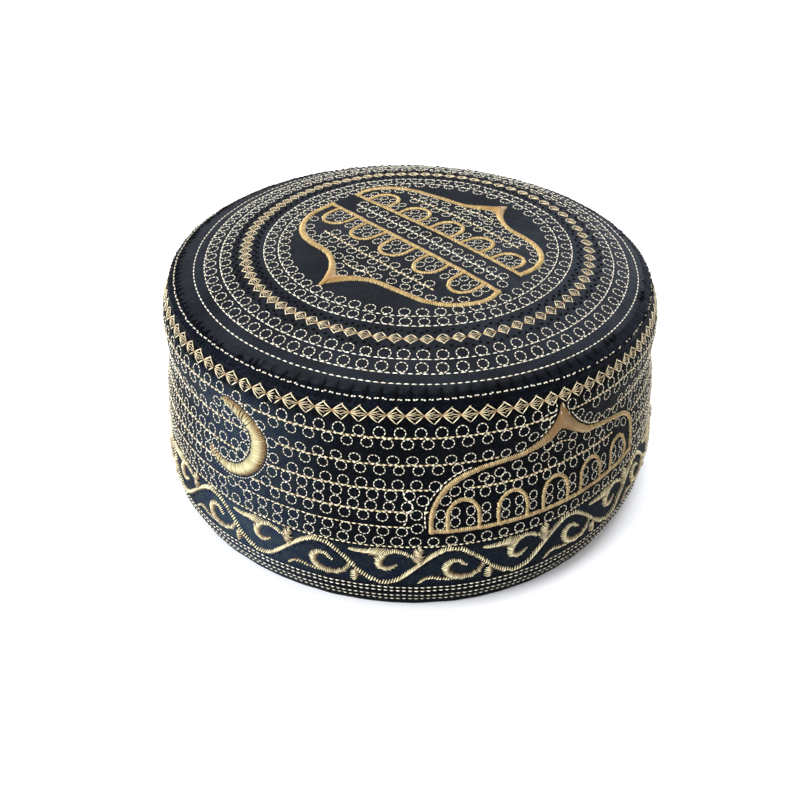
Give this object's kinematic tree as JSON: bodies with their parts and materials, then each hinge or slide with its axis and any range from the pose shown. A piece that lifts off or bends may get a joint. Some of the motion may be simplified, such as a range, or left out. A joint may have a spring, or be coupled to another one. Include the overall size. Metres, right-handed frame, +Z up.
{
  "type": "kufi cap",
  "caption": "Round embroidered kufi cap with a low domed crown, an upright side band and an overcast rim seam, open below for the head.",
  "frame": {"origin": "under the middle of the cap, in the plane of its hem, where it stands on a surface", "axes": "+Z up through the crown, -Y towards the front that the picture shows, +X to the right in that view"},
  "size_m": [0.1907, 0.1916, 0.0944],
  "materials": {
    "crown_cloth": "dark navy satin, embroidered in gold thread",
    "band_cloth": "near-black navy satin, embroidered in gold thread",
    "seam_thread": "dense black overcast thread"
  },
  "bodies": {
    "root": {"crown_top": "crown_cloth", "side_band": "band_cloth", "rim_seam": "seam_thread"}
  },
  "joints": []
}
